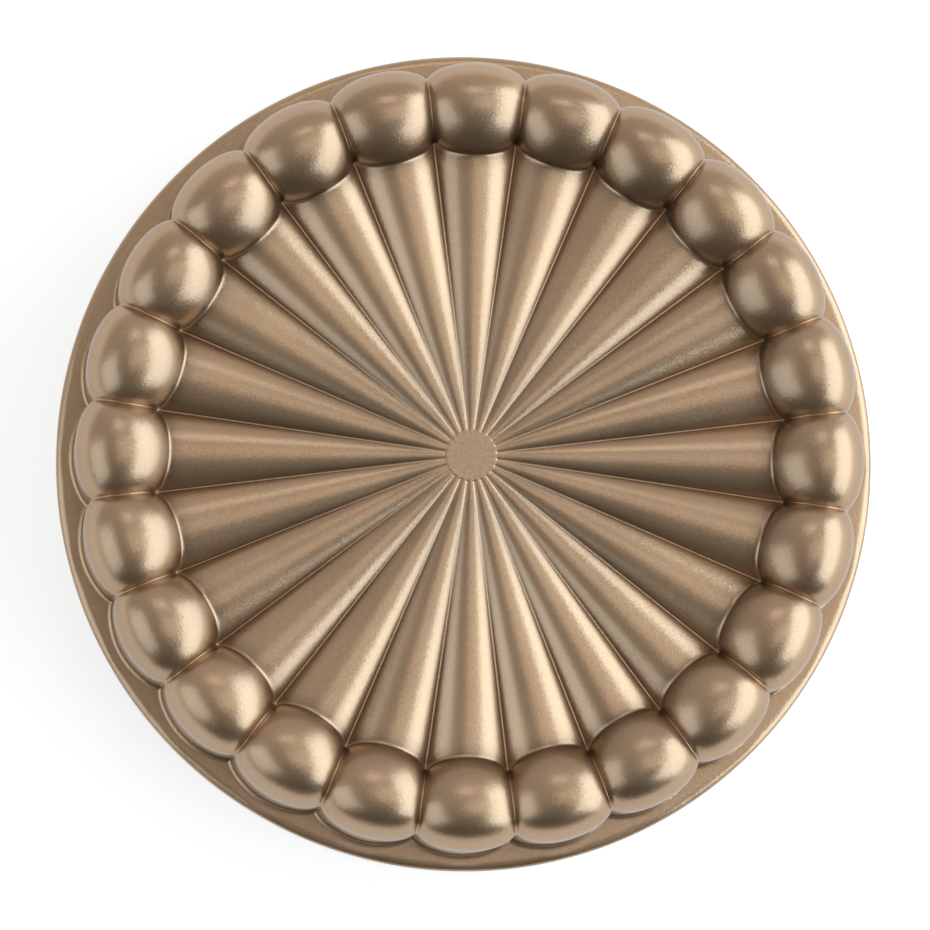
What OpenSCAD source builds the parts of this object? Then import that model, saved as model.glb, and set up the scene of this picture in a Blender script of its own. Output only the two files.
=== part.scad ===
// Fluted charlotte mould: one casting of nearly even wall, turned over, its mouth down on z = 0.
// Lobes stand round the wall as drafted columns, each closed by a dome, and a fan of
// tapered flutes runs from the domes to a flat hub. The inside repeats the outside, one wall in.
// The casting is a loft: at each angle a section is drawn in the half plane through the axis,
// from the hub over a flute, a dome and a column to the rim and back along the inside, and
// neighbouring sections are joined.

/* [Rim] */
// Outer diameter of the flat rim
rim_d = 245; // [230:1:275]
// Thickness of the rim
rim_t = 3.2; // [2.4:0.1:5]
// Width of the flat rim outside the widest point of a lobe
rim_w = 5; // [4.5:0.1:12]
// Rounding of the rim's upper outer edge
rim_edge_r = 1.7; // [0.8:0.1:2]
// Rounding of the rim's lower outer edge
rim_foot_r = 0.5; // [0.2:0.1:0.8]

/* [Lobes] */
// Number of lobes round the mould
lobes = 24; // [22:1:26]
// Height of the dome tops over the table
height = 51; // [42:1:70]
// Rounding of a dome from the middle outwards and inwards
dome_r = 14.8; // [13.2:0.1:15.8]
// Rounding of a dome along the ring, which its column and its inner side share
dome_side_r = 18.8; // [17.5:0.1:21]
// Draft of the columns, in degrees
draft = 2; // [1:0.5:5]
// Draft of the domes' inner side, in degrees
flank_draft = 20; // [14:1:24]
// Radius of the cove where the columns meet the rim, and of the mouth's lip
cove_r = 1.5; // [0.8:0.1:2.5]

/* [Flutes] */
// How far the flutes' crests lie below the dome tops, at the domes
flute_drop = 9.1; // [7:0.1:12]
// How far the crests fall from the domes to the hub
flute_fall = 2.4; // [1:0.1:4]
// Depth of the grooves between the flutes, at the domes
groove_depth = 5.8; // [4:0.1:7]
// Radius of the flutes' section at the hub
flute_hub_r = 2.6; // [2.2:0.1:3.5]
// Radius of the flat hub
hub_r = 8; // [6:0.5:12]

/* [Casting] */
// Thickness of the wall
wall = 3; // [2.4:0.1:3.6]
// Height of the ribs between the hollows inside, at the domes
rib_depth = 7; // [5.5:0.1:8]
// Radius of the hollows' section at the hub
hollow_hub_r = 3; // [2.5:0.1:3.8]

/* [Hidden] */
// Sections to half a lobe, and rows on a dome, on a flute and on a rounding
half_sections = 3;
dome_rows = 7;
flute_rows = 4;
bend_rows = 2;
// Turn between the point where a dome's arc meets its inner side's line and the arc's first row
first_turn = 2;
// Turns in which the place where a flute meets its lobe is narrowed down
meeting_turns = 12;
pitch = 360 / lobes;
section_step = pitch / 2 / half_sections;
rim_r = rim_d / 2;
dome_z = height - dome_r;
// The ring on which the domes stand leaves room for the columns' draft and the rim
dome_ring_r = rim_r - rim_w - (dome_z - rim_t) * tan(draft) - dome_r / cos(draft);
flute_end = dome_ring_r - dome_r * cos(flank_draft);
end_crest_z = height - flute_drop;
hub_crest_z = end_crest_z - flute_fall;
half_end_w = flute_end * tan(pitch / 2);

// Radius of the arc that is as deep as depth over the width of one flute at the domes
function arc_r(depth) = (half_end_w * half_end_w + depth * depth) / (2 * depth);
function along(r, at_hub, at_end) = at_hub + (r - hub_r) * (at_end - at_hub) / (flute_end - hub_r);
function sagitta(radius, half_w) = radius - sqrt(radius * radius - half_w * half_w);
function turned(centre, radius, angle) = centre + radius * [cos(angle), sin(angle)];

// Rounding of a lobe in the section that lies a degrees from the lobe's middle
function lobe_r(a, inset) = dome_r - inset - sagitta(dome_side_r - inset, dome_ring_r * tan(a));

// Height of a flute's surface in that section
function flute_z(r, a, inset, depth, at_hub_r) =
    along(r, hub_crest_z, end_crest_z) - inset
        - sagitta(along(r, at_hub_r, arc_r(depth)), r * sin(a));

// Radius at which the inner side of a lobe has a given height
function flank_at(z, radius) =
    let (tangent_z = dome_z + radius * sin(flank_draft))
    z > tangent_z
        ? dome_ring_r - sqrt(radius * radius - (z - dome_z) * (z - dome_z))
        : dome_ring_r - radius * cos(flank_draft) - (tangent_z - z) * tan(flank_draft);

// Radius at which a flute meets the lobe: each turn puts the last radius into the flute's height
function meeting(a, inset, depth, at_hub_r, r, turns) =
    turns == 0 ? r : meeting(a, inset, depth, at_hub_r,
        flank_at(flute_z(r, a, inset, depth, at_hub_r), lobe_r(a, inset)), turns - 1);

// Half a section: from the hub over the flute and the dome to the column's foot
function half_section(a, inset, depth, at_hub_r, foot_z) =
    let (
        centre = [dome_ring_r, dome_z],
        radius = lobe_r(a, inset),
        end_r = meeting(a, inset, depth, at_hub_r, flute_end, meeting_turns),
        foot_r = dome_ring_r + radius / cos(draft) + (dome_z - foot_z - cove_r) * tan(draft),
        from_turn = 180 - flank_draft - first_turn
    )
    concat(
        [for (k = [0 : flute_rows])
            let (r = hub_r + (end_r - hub_r) * k / flute_rows)
            [r, flute_z(r, a, inset, depth, at_hub_r)]],
        [for (k = [0 : dome_rows])
            turned(centre, radius, from_turn + (draft - from_turn) * k / dome_rows)],
        [for (k = [0 : bend_rows])
            turned([foot_r + cove_r, foot_z + cove_r], cove_r, 180 + 90 * k / bend_rows)]
    );

// The rim's edge, from its top to its underside
function rim_edge() =
    concat(
        [for (k = [0 : bend_rows])
            turned([rim_r - rim_edge_r, rim_t - rim_edge_r], rim_edge_r, 90 - 90 * k / bend_rows)],
        [for (k = [0 : 1])
            turned([rim_r - rim_foot_r, rim_foot_r], rim_foot_r, -90 * k)]
    );

function reversed(list) = [for (k = [len(list) - 1 : -1 : 0]) list[k]];

function section(a) =
    concat(
        half_section(a, 0, groove_depth, flute_hub_r, rim_t),
        rim_edge(),
        reversed(half_section(a, wall, rib_depth, hollow_hub_r, 0))
    );

module charlotte_mould() {
    sections = [for (k = [0 : half_sections]) section(k * section_step)];
    rows = len(sections[0]);
    around = 2 * half_sections * lobes;
    // Sections run from a lobe's middle to the crease and back to the next middle
    points = [
        for (i = [0 : around - 1])
            let (k = i % (2 * half_sections), share = k > half_sections ? 2 * half_sections - k : k)
            for (p = sections[share])
                [p[0] * cos(i * section_step), p[0] * sin(i * section_step), p[1]]
    ];
    hub = [[0, 0, hub_crest_z], [0, 0, hub_crest_z - wall]];
    top = around * rows;
    function at(i, row) = (i % around) * rows + row;
    color([0.60, 0.50, 0.38])
        polyhedron(
            points = concat(points, hub),
            faces = concat(
                [for (i = [0 : around - 1], row = [0 : rows - 2])
                    [at(i, row), at(i + 1, row + 1), at(i, row + 1)]],
                [for (i = [0 : around - 1], row = [0 : rows - 2])
                    [at(i, row), at(i + 1, row), at(i + 1, row + 1)]],
                [for (i = [0 : around - 1]) [top, at(i + 1, 0), at(i, 0)]],
                [for (i = [0 : around - 1]) [top + 1, at(i, rows - 1), at(i + 1, rows - 1)]]
            ),
            convexity = 6
        );
}

charlotte_mould();
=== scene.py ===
# %% [markdown]
# # A fluted charlotte mould, turned over
# The object is one aluminium casting with a bronze-coloured coating. It lies on its rim, mouth
# down, and the camera looks at it from nearly straight above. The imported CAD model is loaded
# first, because every size and place in this scene follows from it.

# %% Load the frame
import math

import bpy
import numpy as np
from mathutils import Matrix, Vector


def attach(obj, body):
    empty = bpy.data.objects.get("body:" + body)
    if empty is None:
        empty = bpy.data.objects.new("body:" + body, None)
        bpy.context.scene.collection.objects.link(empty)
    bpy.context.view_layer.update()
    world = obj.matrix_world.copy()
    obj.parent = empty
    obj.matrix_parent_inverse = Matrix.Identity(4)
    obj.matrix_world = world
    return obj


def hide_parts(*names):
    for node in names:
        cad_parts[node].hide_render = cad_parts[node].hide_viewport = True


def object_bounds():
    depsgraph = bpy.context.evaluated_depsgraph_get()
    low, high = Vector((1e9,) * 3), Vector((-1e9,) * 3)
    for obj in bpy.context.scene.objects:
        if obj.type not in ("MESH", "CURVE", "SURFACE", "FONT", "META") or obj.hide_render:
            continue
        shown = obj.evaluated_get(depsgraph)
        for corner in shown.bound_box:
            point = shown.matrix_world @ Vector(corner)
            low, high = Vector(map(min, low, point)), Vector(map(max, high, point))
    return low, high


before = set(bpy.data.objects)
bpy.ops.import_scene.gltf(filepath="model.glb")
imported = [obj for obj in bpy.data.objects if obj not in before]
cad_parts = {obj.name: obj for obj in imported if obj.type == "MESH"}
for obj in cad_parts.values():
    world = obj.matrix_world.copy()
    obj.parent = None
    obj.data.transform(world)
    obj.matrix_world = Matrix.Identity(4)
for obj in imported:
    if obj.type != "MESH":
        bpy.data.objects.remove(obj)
cad_box = [list(map(float, corner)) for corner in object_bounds()]
print("CAD box:", cad_box)

# %% [markdown]
# ## The camera
# The photograph was taken from well above, with the camera a little to the lower left of the
# mould's axis. Such a view could be made with a shifted lens or with a tilted camera. A tilted
# one was chosen, because it needs no shift. The distance comes from how much larger the upper
# rings look than the rim, and the tilt from how far these rings lie from the rim's centre.

# %% Camera
FRAME_PX = 930
SENSOR_MM = 36.0
FOCAL_PX = 5670.8
CAMERA_AT = (-0.0831, -0.0974, 1.700)
CAMERA_TURN = (3.217, -2.846, 0.759)

camera_data = bpy.data.cameras.new("camera")
camera_data.sensor_width = SENSOR_MM
camera_data.lens = FOCAL_PX * SENSOR_MM / FRAME_PX
camera_data.clip_end = 20.0
camera = bpy.data.objects.new("camera", camera_data)
camera.location = CAMERA_AT
camera.rotation_euler = [math.radians(turn) for turn in CAMERA_TURN]
bpy.context.scene.collection.objects.link(camera)
bpy.context.scene.camera = camera
print("Focal length:", round(camera_data.lens, 1), "mm")

# %% [markdown]
# ## The form as a formula
# The CAD solid has the right form, but its creases are sharp. A real casting has small fillets
# in them, and in the photograph each fillet catches a thin line of light. The mesh could be
# bevelled, but a bevel on such crossing creases tears. Here the outside is written as a
# distance function instead: it is positive outside, negative inside and zero on the surface.
# The first functions give one lobe and one flute in the half plane at an angle from the lobe's
# middle, in millimetres.

# %% Sizes of the casting
LOBES = 24
HALF_PITCH = math.pi / LOBES
RIM_R = 1000 * cad_box[1][0]
RIM_T, RIM_W = 3.2, 5.0
RIM_EDGE_W, RIM_EDGE_H, RIM_FOOT_R = 3.0, 1.8, 0.5
HEIGHT = 1000 * cad_box[1][2]
DOME_R = 14.8
DRAFT, FLANK = math.radians(2), math.radians(20)
WALL = 3.0
HUB_R = 7.5
dome_z = HEIGHT - DOME_R
dome_ring_r = RIM_R - RIM_W - (dome_z - RIM_T) * math.tan(DRAFT) - DOME_R / math.cos(DRAFT)
flute_end = dome_ring_r - DOME_R * math.cos(FLANK)
print("Ring of domes at", round(dome_ring_r, 1), "mm, flutes end at", round(flute_end, 1), "mm")

# %% [markdown]
# A dome isn't half a ball. The highlights in the photograph show that its crest lies a little
# outside its middle, and that it is flatter along the ring than across it. So the distance is
# taken to a circle with a shifted crest, and an ellipse lowers it towards the next lobe.

# %% Distance to a lobe
SAG_X, SAG_Z = 14.25, 8.4
SAG_END = 0.96
CREST_SHIFT = 2.3


def lobe(r, z, angle, inset):
    """Distance to the lobe whose middle is at angle 0."""
    dx, dz = r - dome_ring_r, z - dome_z
    dx = dx - CREST_SHIFT * np.maximum(1 - (dx / DOME_R) ** 2, 0)
    turn = np.arctan2(dz, dx)
    outer = dx * math.cos(DRAFT) + dz * math.sin(DRAFT)
    inner = -dx * math.cos(FLANK) + dz * math.sin(FLANK)
    profile = np.where(turn > DRAFT, np.where(turn < math.pi - FLANK, np.hypot(dx, dz), inner), outer)
    profile = np.where(turn < -math.pi / 2, inner, profile)
    share = np.abs(angle) / HALF_PITCH * dome_ring_r * math.tan(HALF_PITCH) / SAG_X
    near = np.minimum(share, SAG_END)
    sag = SAG_Z * (1 - np.sqrt(1 - near * near))
    slope = SAG_Z / SAG_X * near / np.sqrt(1 - near * near)
    sag = sag + (share - near) * SAG_X * slope
    return (profile + sag - DOME_R) / np.sqrt(1 + slope * slope) + inset


middle_depth = -float(lobe(dome_ring_r, dome_z, 0, 0))
print("Middle of a dome lies", round(middle_depth, 1), "mm under its surface")

# %% [markdown]
# A flute could be a plain cone, but then its sides would be too steep halfway to the hub. The
# radius of its section grows a little less than in proportion, by a power below one.

# %% Distance to a flute
FLUTE_DROP, FLUTE_FALL = 9.1, 2.4
GROOVE_DEPTH, RIB_DEPTH = 5.4, 7.0
SECTION_POWER = 0.8
# Nearer to the axis than this, a section's radius stays as it is here
AXIS_GAP = 1.0
crest_end = HEIGHT - FLUTE_DROP
crest_hub = crest_end - FLUTE_FALL


def arc_r(depth):
    """Radius of the arc that is as deep as depth over the width of a flute at the domes."""
    half = flute_end * math.tan(HALF_PITCH)
    return (half * half + depth * depth) / (2 * depth)


def flute(r, z, angle, inset, end_r):
    """Distance to the flute whose crest is at angle 0."""
    x, y = r * np.cos(angle), r * np.sin(angle)
    section_r = end_r * (np.maximum(x, AXIS_GAP) / flute_end) ** SECTION_POWER
    crest_z = crest_hub + (x - HUB_R) * (crest_end - crest_hub) / (flute_end - HUB_R)
    axis_z = crest_z - inset - section_r
    return np.hypot(y, np.maximum(z - axis_z, 0)) - section_r


print("Section of a flute at the domes: radius", round(arc_r(GROOVE_DEPTH), 1), "mm")

# %% [markdown]
# Two distances are joined by a rounded union: where both are within a fillet's radius, the
# result follows a quarter circle that touches both surfaces.

# %% The whole outside and inside
LOBE_FILLET, MEETING_FILLET, COVE_R = 0.4, 0.5, 1.5
HUB_FILLET, GROOVE_FILLET_HUB, GROOVE_FILLET_GAIN = 0.1, 0.12, 0.26
INNER_FILLET, INNER_GROOVE_FILLET = 1.2, 0.9


def joined(a, b, fillet):
    corner = np.hypot(np.maximum(fillet - a, 0), np.maximum(fillet - b, 0))
    return np.maximum(fillet, np.minimum(a, b)) - corner


def lobes_at(r, z, angle, inset, fillet):
    return joined(lobe(r, z, angle, inset), lobe(r, z, 2 * HALF_PITCH - angle, inset), fillet)


def flutes_at(r, z, angle, inset, end_r, fillet):
    own = flute(r, z, angle, inset, end_r)
    fan = joined(own, flute(r, z, 2 * HALF_PITCH - angle, inset, end_r), fillet)
    fan = np.maximum(fan, r - dome_ring_r)
    hub = np.maximum(z - crest_hub + inset, r - HUB_R)
    return joined(fan, hub, HUB_FILLET)


def groove_fillet(r):
    return GROOVE_FILLET_HUB + GROOVE_FILLET_GAIN * r / flute_end


def outside(r, z, angle):
    fan = flutes_at(r, z, angle, 0, arc_r(GROOVE_DEPTH), groove_fillet(r))
    upper = joined(lobes_at(r, z, angle, 0, LOBE_FILLET), fan, MEETING_FILLET)
    return joined(upper, z - RIM_T, COVE_R)


def inside(r, z, angle):
    lobes = lobes_at(r, z, angle, WALL, INNER_FILLET)
    fan = flutes_at(r, z, angle, WALL, arc_r(RIB_DEPTH), INNER_GROOVE_FILLET)
    return joined(joined(lobes, fan, INNER_FILLET), z, COVE_R)


print("Fillet between flutes at the domes:", round(groove_fillet(flute_end), 2), "mm")

# %% [markdown]
# ## From the formula to a mesh
# A formula could be turned into a mesh with a grid of cubes, but that gives ragged creases. Here
# rays are shot at the surface instead, in half planes through the axis. Each ray starts
# outside the material and is halved until it meets the surface. The half planes lie closer
# together near the creases, and all of them fall in half a lobe: the rest is mirrored copies.

# %% Rays
SHARES = np.array([0, 0.16, 0.32, 0.47, 0.60, 0.71, 0.80, 0.87, 0.925, 0.962, 0.985, 1.0])
HALVINGS = 40


def hit(field, start, end, angle):
    """Where the way from start to end meets the field's zero."""
    low, high = np.zeros(len(start)), np.ones(len(start))
    for _ in range(HALVINGS):
        middle = (low + high) / 2
        at = start + (end - start) * middle[:, None]
        out = field(at[:, 0], at[:, 1], angle) > 0
        low, high = np.where(out, middle, low), np.where(out, high, middle)
    return start + (end - start) * high[:, None]


def shot(field, starts, ends, angle):
    """The same for rays that may share their start or their end."""
    shape = np.broadcast_shapes(np.shape(starts), np.shape(ends))
    return hit(field, np.broadcast_to(starts, shape), np.broadcast_to(ends, shape), angle)


def arc_points(centre, from_turn, to_turn, count, reach):
    """Points on an arc round the centre, without its first."""
    turns = from_turn + (to_turn - from_turn) * np.linspace(0, 1, count + 1)[1:]
    return centre + reach * np.stack([np.cos(turns), np.sin(turns)], 1)


print("Half planes in half a lobe:", len(SHARES))

# %% [markdown]
# The rows have to lie closest where the flutes run into the dome, so this place is looked for
# first. At many radii a ray is shot straight down at the flutes, and the first point that lies
# inside the dome is the meeting.

# %% Where flutes meet the dome
SEARCH_FROM, SEARCH_TO, SEARCH_COUNT = 70.0, 100.0, 601
UNDER = 12.0


def straight(r, z):
    """Points at the radii r and the height z, where one of the two may be a single value."""
    return np.stack(np.broadcast_arrays(r, z), 1).astype(float)


def meeting_of(inset, angle, end_r):
    """Radius and height at which the flutes' surface meets the dome's flank."""
    def flute_field(r, z, a):
        return flutes_at(r, z, a, inset, end_r, MEETING_FILLET)

    r = np.linspace(SEARCH_FROM, SEARCH_TO, SEARCH_COUNT)
    z = hit(flute_field, straight(r, HEIGHT), straight(r, UNDER), angle)[:, 1]
    first = np.argmax(lobes_at(r, z, angle, inset, MEETING_FILLET) < 0)
    return np.array([r[first], z[first]])


print("Flutes meet the dome at", meeting_of(0, 0.0, arc_r(GROOVE_DEPTH)).round(1), "mm")

# %% [markdown]
# One half plane is walked from the hub over the flutes, up the dome's flank, over the dome and
# down the column. Straight rays serve for the flutes and the column. Over the dome and in the
# cove at the foot they turn round a point, so that they meet the surface nearly squarely.

# %% From the hub to the foot
# Rows on both sides of the hub's edge
HUB_STEPS = np.array([-2.0, -0.5, -0.1, 0.1, 0.3, 0.7, 1.5])
# The even rows end this far before the meeting and over the foot
MEETING_GAP, FOOT_GAP = 2.2, 2.2
# The close rows on the flank end this far past the meeting
PAST_MEETING = (1.2, 3.2)
HINGE = 3.0
OVER, REACH = 5.0, 40.0
OUTER_SIDE, INNER_SIDE = 135.0, 90.0
COVE_ROWS = 7


def turn_to(point, centre):
    return math.atan2(point[1] - centre[1], point[0] - centre[0])


def upper_walk(field, inset, angle, end_r, counts):
    """Rows from the hub to the foot of the column, on the outside or the inside."""
    flute_rows, flank_rows, dome_rows, column_rows = counts
    meeting = meeting_of(inset, angle, end_r)
    even = np.linspace(HUB_R + 2 * HUB_STEPS[-1], meeting[0] - MEETING_GAP, flute_rows)
    r = np.concatenate([HUB_R + HUB_STEPS, even])
    flutes = shot(field, straight(r, HEIGHT + OVER), straight(r, UNDER), angle)

    centre = np.array([dome_ring_r, dome_z - HINGE - 2 * inset])
    past_turn = turn_to(meeting + PAST_MEETING, centre)
    flank_starts = arc_points(centre, turn_to(flutes[-1], centre), past_turn, flank_rows, REACH)
    dome_starts = arc_points(centre, past_turn, 0.0, dome_rows, REACH)
    dome = shot(field, np.concatenate([flank_starts, dome_starts]), centre, angle)

    foot = RIM_T if inset == 0 else 0.0
    z = np.linspace(centre[1], foot + FOOT_GAP, column_rows + 1)[1:]
    column = shot(field, straight(OUTER_SIDE, z), straight(INNER_SIDE, z), angle)
    hinge = np.array([column[-1][0] + HINGE, foot + FOOT_GAP])
    cove_ends = arc_points(hinge, math.pi, 1.5 * math.pi, COVE_ROWS, 2 * HINGE)
    cove = shot(field, hinge, cove_ends, angle)
    return np.concatenate([flutes, dome, column, cove])


OUTSIDE_ROWS, INSIDE_ROWS = (33, 12, 34, 10), (14, 8, 18, 7)
lobe_middle = upper_walk(outside, 0, 0.0, arc_r(GROOVE_DEPTH), OUTSIDE_ROWS)
print("Top of a dome at", lobe_middle[:, 1].max().round(1), "mm")

# %% [markdown]
# The rim is the same at every angle, so no rays are needed and it is written down as a
# profile: a quarter ellipse at the upper edge, which looks softer than a quarter circle, a
# small quarter circle at the foot and the flat underside.

# %% The rim's profile
EDGE_ROWS, FOOT_ROWS, UNDERSIDE_ROWS = 8, 4, 2
LEAST_FLAT = 0.05


def rim_walk(from_r, to_r):
    """Rows from the column's foot round the rim to the inside of the mouth."""
    flat_end = max(RIM_R - RIM_EDGE_W, from_r + LEAST_FLAT)
    turns = np.linspace(0, math.pi / 2, EDGE_ROWS)
    edge_r = flat_end + (RIM_R - flat_end) * np.sin(turns)
    edge = straight(edge_r, RIM_T - RIM_EDGE_H + RIM_EDGE_H * np.cos(turns))
    turns = np.linspace(0, math.pi / 2, FOOT_ROWS)
    foot_r = RIM_R - RIM_FOOT_R + RIM_FOOT_R * np.cos(turns)
    foot = straight(foot_r, RIM_FOOT_R - RIM_FOOT_R * np.sin(turns))
    under = straight(np.linspace(RIM_R - RIM_FOOT_R, to_r, UNDERSIDE_ROWS + 2)[1:-1], 0.0)
    return np.concatenate([edge, foot, under])


print("In a lobe's middle the rim's profile starts at", lobe_middle[-1][0].round(1), "mm")

# %% [markdown]
# The coating is painted darker where domes and flutes meet. This is painted shade for the
# shade and dim reflections that fall in these corners. A mask could be painted, but the same
# distances give it: it is strong near the next surface and none in the fillet itself, which
# stays bright. It fades out towards the hub, where the flutes are narrow.

# %% Corner mask of painted shade
LOBE_REACH, FLUTE_REACH = 4.0, 1.2
FILLET_FROM, FILLET_TO = 0.15, 0.5


def painted_corner_shade(r, z, angle):
    """Painted shade: 1 in a corner of the outside, falling to 0 away from it."""
    next_angle = 2 * HALF_PITCH - angle
    end_r = arc_r(GROOVE_DEPTH)
    lobes = np.minimum(lobe(r, z, angle, 0), lobe(r, z, next_angle, 0))
    own = np.maximum(flute(r, z, angle, 0, end_r), r - dome_ring_r)
    beside = np.maximum(flute(r, z, next_angle, 0, end_r), r - dome_ring_r)
    flutes = np.minimum(own, beside)
    on_lobe = lobes < flutes
    gap = np.where(on_lobe, flutes, np.minimum(lobes, np.maximum(own, beside)))
    reach = np.where(on_lobe, LOBE_REACH, FLUTE_REACH)
    clear = np.clip((gap - FILLET_FROM) / (FILLET_TO - FILLET_FROM), 0, 1)
    off_hub = np.clip(r / HUB_R - 1, 0, 1)
    return off_hub * clear * np.exp(-gap / reach)


print("Strongest mask in a lobe's middle:", painted_corner_shade(*lobe_middle.T, 0.0).max().round(2))

# %% [markdown]
# The inside is walked in the same way, with fewer rows. It could have a mask too, but it has
# none, because the photograph doesn't show how its corners look.

# %% Half planes
def half_plane(angle):
    """Points of one half plane, and the painted corner shade at each of them."""
    outer = upper_walk(outside, 0, angle, arc_r(GROOVE_DEPTH), OUTSIDE_ROWS)
    inner = upper_walk(inside, WALL, angle, arc_r(RIB_DEPTH), INSIDE_ROWS)
    rim = rim_walk(outer[-1][0], inner[-1][0])
    mask = painted_corner_shade(outer[:, 0], outer[:, 1], angle)
    rest = np.zeros(len(rim) + len(inner))
    return np.concatenate([outer, rim, inner[::-1]]), np.concatenate([mask, rest])


planes = [half_plane(share * HALF_PITCH) for share in SHARES]
print("Rows in a half plane:", len(planes[0][0]))

# %% [markdown]
# ## The casting
# The half planes of one lobe are set side by side, mirrored ones first, and turned round the
# axis. That gives a grid of points with a row for each step of the walk.

# %% Points of the casting
last_share = len(SHARES) - 1
order = [(k, -1) for k in range(last_share, 0, -1)] + [(k, 1) for k in range(last_share)]
angles, profiles, masks = [], [], []
for number in range(LOBES):
    for k, side in order:
        angles.append(number * 2 * HALF_PITCH + side * SHARES[k] * HALF_PITCH)
        profiles.append(planes[k][0])
        masks.append(planes[k][1])
angles = np.array(angles)[:, None]
radii, heights = np.array(profiles)[..., 0], np.array(profiles)[..., 1]
grid = np.stack([radii * np.cos(angles), radii * np.sin(angles), heights], -1).transpose(1, 0, 2)
print("Points in the grid:", grid.shape[0], "rows of", grid.shape[1])

# %% [markdown]
# Two neighbouring rows make a ring of quads. The first and the last row close in a small fan
# round a point on the axis, one on the hub and one under it.

# %% Mesh of the casting
def casting_mesh():
    rows, around = grid.shape[:2]
    hub_out, hub_in = [0, 0, grid[0, 0, 2]], [0, 0, grid[-1, 0, 2]]
    vertices = np.concatenate([grid.reshape(-1, 3), [hub_out, hub_in]]) / 1000
    index = np.arange(rows * around).reshape(rows, around)
    after = np.roll(index, -1, axis=1)
    quads = np.stack([index[:-1], index[1:], after[1:], after[:-1]], -1).reshape(-1, 4)
    first = np.stack([np.full(around, len(vertices) - 2), index[0], after[0]], 1)
    last = np.stack([np.full(around, len(vertices) - 1), after[-1], index[-1]], 1)
    mesh = bpy.data.meshes.new("charlotte_mould_casting")
    mesh.from_pydata(vertices.tolist(), [], quads.tolist() + first.tolist() + last.tolist())
    mesh.validate()
    mesh.shade_smooth()
    # The corner attribute holds the painted shade of the corners.
    corner = mesh.attributes.new("corner", "FLOAT", "POINT")
    corner.data.foreach_set("value", np.append(np.array(masks).T.ravel(), [0.0, 0.0]))
    return mesh


casting = bpy.data.objects.new("charlotte_mould_casting", casting_mesh())
bpy.context.scene.collection.objects.link(casting)
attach(casting, "root")
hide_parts("charlotte_mould")
print("Casting:", sum(len(face.vertices) - 2 for face in casting.data.polygons), "triangles")

# %% [markdown]
# ## The coating
# The coating is a bronze-coloured lacquer full of fine metal flakes over a casting that is
# never quite smooth. It could be one metallic colour, but then it would look too even. Here
# tiny cells tilt the normal a little, each its own way, as flakes do. The next two helpers make
# a labelled node and set its inputs.

# %% Node helpers
def node(tree, kind, label, **values):
    made = tree.nodes.new(kind)
    made.label = label
    for name, value in values.items():
        setattr(made, name, value)
    return made


def put(made, values):
    for name, value in values.items():
        made.inputs[name].default_value = value
    return made


# %% Flake group
def flake_group():
    """Cells that tilt the normal, as metal flakes in a lacquer do."""
    tree = bpy.data.node_groups.new("metal_flake", "ShaderNodeTree")
    for name, value in (("Cell Size", 0.0003), ("Tilt", 0.2)):
        socket = tree.interface.new_socket(name, in_out="INPUT", socket_type="NodeSocketFloat")
        socket.default_value = value
    tree.interface.new_socket("Mask", in_out="OUTPUT", socket_type="NodeSocketFloat")
    tree.interface.new_socket("Normal", in_out="OUTPUT", socket_type="NodeSocketVector")
    entry = node(tree, "NodeGroupInput", "sizes")
    leave = node(tree, "NodeGroupOutput", "flakes")
    place = node(tree, "ShaderNodeTexCoord", "place on the object")
    scale = node(tree, "ShaderNodeMath", "cells in a metre", operation="DIVIDE")
    scale.inputs[0].default_value = 1.0
    cells = node(tree, "ShaderNodeTexVoronoi", "flakes")
    centred = node(tree, "ShaderNodeVectorMath", "tilt both ways", operation="SUBTRACT")
    centred.inputs[1].default_value = (0.5, 0.5, 0.5)
    tilt = node(tree, "ShaderNodeVectorMath", "tilt of a flake", operation="SCALE")
    normal = node(tree, "ShaderNodeNewGeometry", "surface normal")
    total = node(tree, "ShaderNodeVectorMath", "tilted normal", operation="ADD")
    unit = node(tree, "ShaderNodeVectorMath", "unit length", operation="NORMALIZE")
    split = node(tree, "ShaderNodeSeparateXYZ", "one channel")
    link = tree.links.new
    link(entry.outputs["Cell Size"], scale.inputs[1])
    link(place.outputs["Object"], cells.inputs["Vector"])
    link(scale.outputs[0], cells.inputs["Scale"])
    link(cells.outputs["Color"], centred.inputs[0])
    link(centred.outputs[0], tilt.inputs[0])
    link(entry.outputs["Tilt"], tilt.inputs["Scale"])
    link(normal.outputs["Normal"], total.inputs[0])
    link(tilt.outputs[0], total.inputs[1])
    link(total.outputs[0], unit.inputs[0])
    link(unit.outputs[0], leave.inputs["Normal"])
    link(cells.outputs["Color"], split.inputs[0])
    link(split.outputs["X"], leave.inputs["Mask"])
    return tree


flake = flake_group()
print("Flake group:", len(flake.nodes), "nodes")

# %% [markdown]
# The flakes lie over the grain of the casting, which is a fine noise that only bumps the
# normal: it is far too small for the mesh.

# %% Surface of the coating
def surface(tree, place):
    """Flakes in the lacquer, and a bump for the grain under them."""
    flakes = node(tree, "ShaderNodeGroup", "flakes", node_tree=flake)
    put(flakes, {"Cell Size": 0.00024, "Tilt": 0.09})
    grain = put(node(tree, "ShaderNodeTexNoise", "cast grain"), {"Scale": 1500.0, "Detail": 2.0})
    bump = put(node(tree, "ShaderNodeBump", "cast surface"), {"Strength": 1.0, "Distance": 0.00004})
    tree.links.new(place, grain.inputs["Vector"])
    tree.links.new(grain.outputs["Fac"], bump.inputs["Height"])
    tree.links.new(flakes.outputs["Normal"], bump.inputs["Normal"])
    return flakes, bump


# %% [markdown]
# The colour is one bronze, made lighter or darker by three things: slow patches, as a sprayed
# coat has, each flake's own tone, and the painted shade of the corners.

# %% Colour of the coating
BRONZE = (0.44, 0.286, 0.167)


def spread(tree, label, source, values):
    made = put(node(tree, "ShaderNodeMapRange", label), values)
    tree.links.new(source, made.inputs["Value"])
    return made.outputs[0]


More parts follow.
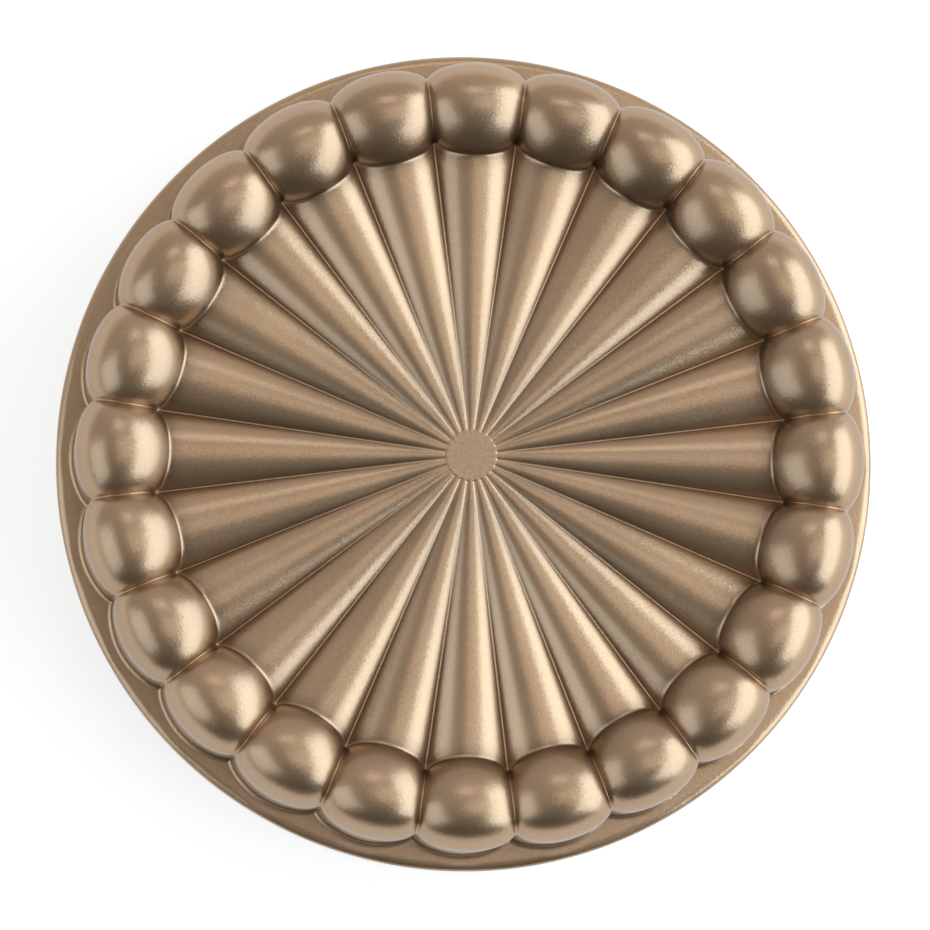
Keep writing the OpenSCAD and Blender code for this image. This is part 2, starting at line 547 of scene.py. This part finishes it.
def times(tree, label, first, second):
    made = node(tree, "ShaderNodeMath", label, operation="MULTIPLY")
    tree.links.new(first, made.inputs[0])
    tree.links.new(second, made.inputs[1])
    return made.outputs[0]


def colour(tree, patch, flakes):
    """Bronze, scaled by the tones of the patches and the flakes, and darkened by painted shade in the
    corners.
    """
    tones = {"From Min": 0.3, "From Max": 0.7, "To Min": 0.93, "To Max": 1.07}
    tone = spread(tree, "tone", patch, tones)
    glitter = spread(tree, "flake tone", flakes, {"To Min": 0.92, "To Max": 1.08})
    # The corner attribute is painted shade: it darkens the bronze down to 0.35 of itself in the
    # corners.
    corner = node(tree, "ShaderNodeAttribute", "corner", attribute_name="corner")
    painted_shade = spread(tree, "painted shade in corners", corner.outputs["Fac"], {"To Min": 1.0, "To Max": 0.35})
    both = times(tree, "tone times flake", tone, glitter)
    scaled = node(tree, "ShaderNodeVectorMath", "coating colour", operation="SCALE")
    scaled.inputs[0].default_value = BRONZE
    tree.links.new(times(tree, "tone times corner", both, painted_shade), scaled.inputs["Scale"])
    return scaled.outputs[0]


# %% [markdown]
# The coating's shader is nearly a metal, and a clear coat over it gives the second, sharper
# highlight of a lacquer. Its roughness follows the same slow patches as its colour.

# %% Coating material
def coating():
    made = bpy.data.materials.new("coated_casting")
    made.use_nodes = True
    tree = made.node_tree
    tree.nodes.clear()
    out = node(tree, "ShaderNodeOutputMaterial", "output")
    shader = node(tree, "ShaderNodeBsdfPrincipled", "coating")
    put(shader, {"Metallic": 0.9, "Specular Tint": (0.60, 0.55, 0.50, 1)})
    put(shader, {"Coat Weight": 0.5, "Coat Roughness": 0.22, "Coat IOR": 1.7})
    place = node(tree, "ShaderNodeTexCoord", "place on the object").outputs["Object"]
    patch = put(node(tree, "ShaderNodeTexNoise", "slow patches"), {"Scale": 28.0, "Detail": 4.0})
    flakes, bump = surface(tree, place)
    levels = {"From Min": 0.25, "From Max": 0.75, "To Min": 0.29, "To Max": 0.35}
    rough = spread(tree, "roughness", patch.outputs["Fac"], levels)
    base = colour(tree, patch.outputs["Fac"], flakes.outputs["Mask"])
    tree.links.new(place, patch.inputs["Vector"])
    tree.links.new(base, shader.inputs["Base Color"])
    tree.links.new(rough, shader.inputs["Roughness"])
    tree.links.new(bump.outputs["Normal"], shader.inputs["Normal"])
    tree.links.new(shader.outputs[0], out.inputs["Surface"])
    return made


coat = coating()
casting.data.materials.append(coat)
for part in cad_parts.values():
    part.data.materials.clear()
    part.data.materials.append(coat)
print("Coating nodes:", len(coat.node_tree.nodes))

# %% [markdown]
# ## Floor and light
# The mould lies on white paper. More light could make the paper white, but it would bleach the
# coating too, so the paper glows a little where it is looked at, straight, in a mirror or
# through glass, and keeps the mould's shadow.

# %% White paper
def white_paper():
    white = bpy.data.materials.new("floor_white")
    white.use_nodes = True
    tree = white.node_tree
    tree.nodes.clear()
    out = node(tree, "ShaderNodeOutputMaterial", "output")
    paper = node(tree, "ShaderNodeBsdfPrincipled", "paper")
    put(paper, {"Base Color": (0.5, 0.5, 0.5, 1), "Roughness": 0.9})
    glow = put(node(tree, "ShaderNodeEmission", "lit paper"), {"Strength": 0.64})
    path = node(tree, "ShaderNodeLightPath", "what looks at it")
    mirrored = node(tree, "ShaderNodeMath", "camera or mirror", operation="MAXIMUM")
    seen = node(tree, "ShaderNodeMath", "or through glass", operation="MAXIMUM")
    total = node(tree, "ShaderNodeAddShader", "paper and its light")
    shown = node(tree, "ShaderNodeMixShader", "lit only where it is looked at")
    link = tree.links.new
    link(paper.outputs[0], total.inputs[0])
    link(glow.outputs[0], total.inputs[1])
    link(path.outputs["Is Camera Ray"], mirrored.inputs[0])
    link(path.outputs["Is Glossy Ray"], mirrored.inputs[1])
    link(mirrored.outputs[0], seen.inputs[0])
    link(path.outputs["Is Transmission Ray"], seen.inputs[1])
    link(seen.outputs[0], shown.inputs[0])
    link(paper.outputs[0], shown.inputs[1])
    link(total.outputs[0], shown.inputs[2])
    link(shown.outputs[0], out.inputs["Surface"])
    return white


paper_white = white_paper()
print("Paper nodes:", len(paper_white.node_tree.nodes))

# %% [markdown]
# The sheet is far larger than the picture, so no edge shows from any side.

# %% Floor
FLOOR_HALF = 30.0
corners = [(x * FLOOR_HALF, y * FLOOR_HALF, 0) for x, y in ((-1, -1), (1, -1), (1, 1), (-1, 1))]
sheet = bpy.data.meshes.new("floor")
sheet.from_pydata(corners, [], [(0, 1, 2, 3)])
sheet.materials.append(paper_white)
floor = bpy.data.objects.new("floor", sheet)
bpy.context.scene.collection.objects.link(floor)
print("Floor:", 2 * FLOOR_HALF, "m across")

# %% [markdown]
# A tall soft box stands on the right and a weaker one on the left, both a little cool, as
# daylight is. Each dome and flute mirrors both, and the darker gap between them shows the
# coating's own colour. A soft lamp overhead, a little to the right, lights the hub and the rim.
# A narrow one behind gives the domes their small second highlight.

# %% Lights
def soft_box(name, toward, tilt, distance, width, height, power, colour):
    """A lamp in the direction toward, in degrees round the axis, tilted from straight up."""
    data = bpy.data.lights.new(name, "AREA")
    data.shape = "RECTANGLE"
    data.size, data.size_y = width, height
    data.energy = power
    data.color = colour
    made = bpy.data.objects.new(name, data)
    turn, lean = math.radians(toward), math.radians(tilt)
    made.location = (
        distance * math.sin(lean) * math.cos(turn),
        distance * math.sin(lean) * math.sin(turn),
        distance * math.cos(lean))
    made.rotation_euler = (0, lean, turn)
    bpy.context.scene.collection.objects.link(made)
    print(name, "at", [round(value, 2) for value in made.location])


COOL = (0.75, 0.89, 1.0)
WARM = (1.0, 0.98, 0.95)
soft_box("soft_box_right", 1, 60, distance=1.2, width=1.15, height=2.1, power=23.5, colour=COOL)
soft_box("soft_box_left", 200, 58, distance=1.2, width=1.0, height=1.2, power=5.0, colour=COOL)
soft_box("narrow_lamp_back", 90, 36, distance=1.3, width=0.25, height=0.5, power=0.7, colour=WARM)
soft_box("soft_lamp_above", 8, 14, distance=2.0, width=1.1, height=1.1, power=2.9, colour=WARM)

# %% [markdown]
# The rest of the room is a plain grey that is brighter at the back than at the front. It could
# be even, but the mould's front domes and flutes have clearly darker sides in the photograph.

# %% Room
world = bpy.data.worlds.new("studio")
world.use_nodes = True
sky = world.node_tree
background = put(sky.nodes["Background"], {"Color": (1.0, 0.97, 0.94, 1)})
direction = node(sky, "ShaderNodeTexCoord", "direction")
axes = node(sky, "ShaderNodeSeparateXYZ", "towards the back wall")
level = node(sky, "ShaderNodeMapRange", "brighter at the back")
put(level, {"From Min": -0.9, "To Min": 0.08, "To Max": 0.72})
sky.links.new(direction.outputs["Generated"], axes.inputs[0])
sky.links.new(axes.outputs["Y"], level.inputs["Value"])
sky.links.new(level.outputs[0], background.inputs["Strength"])
bpy.context.scene.world = world
bpy.context.scene.view_settings.view_transform = "Standard"
print("Room nodes:", len(sky.nodes))
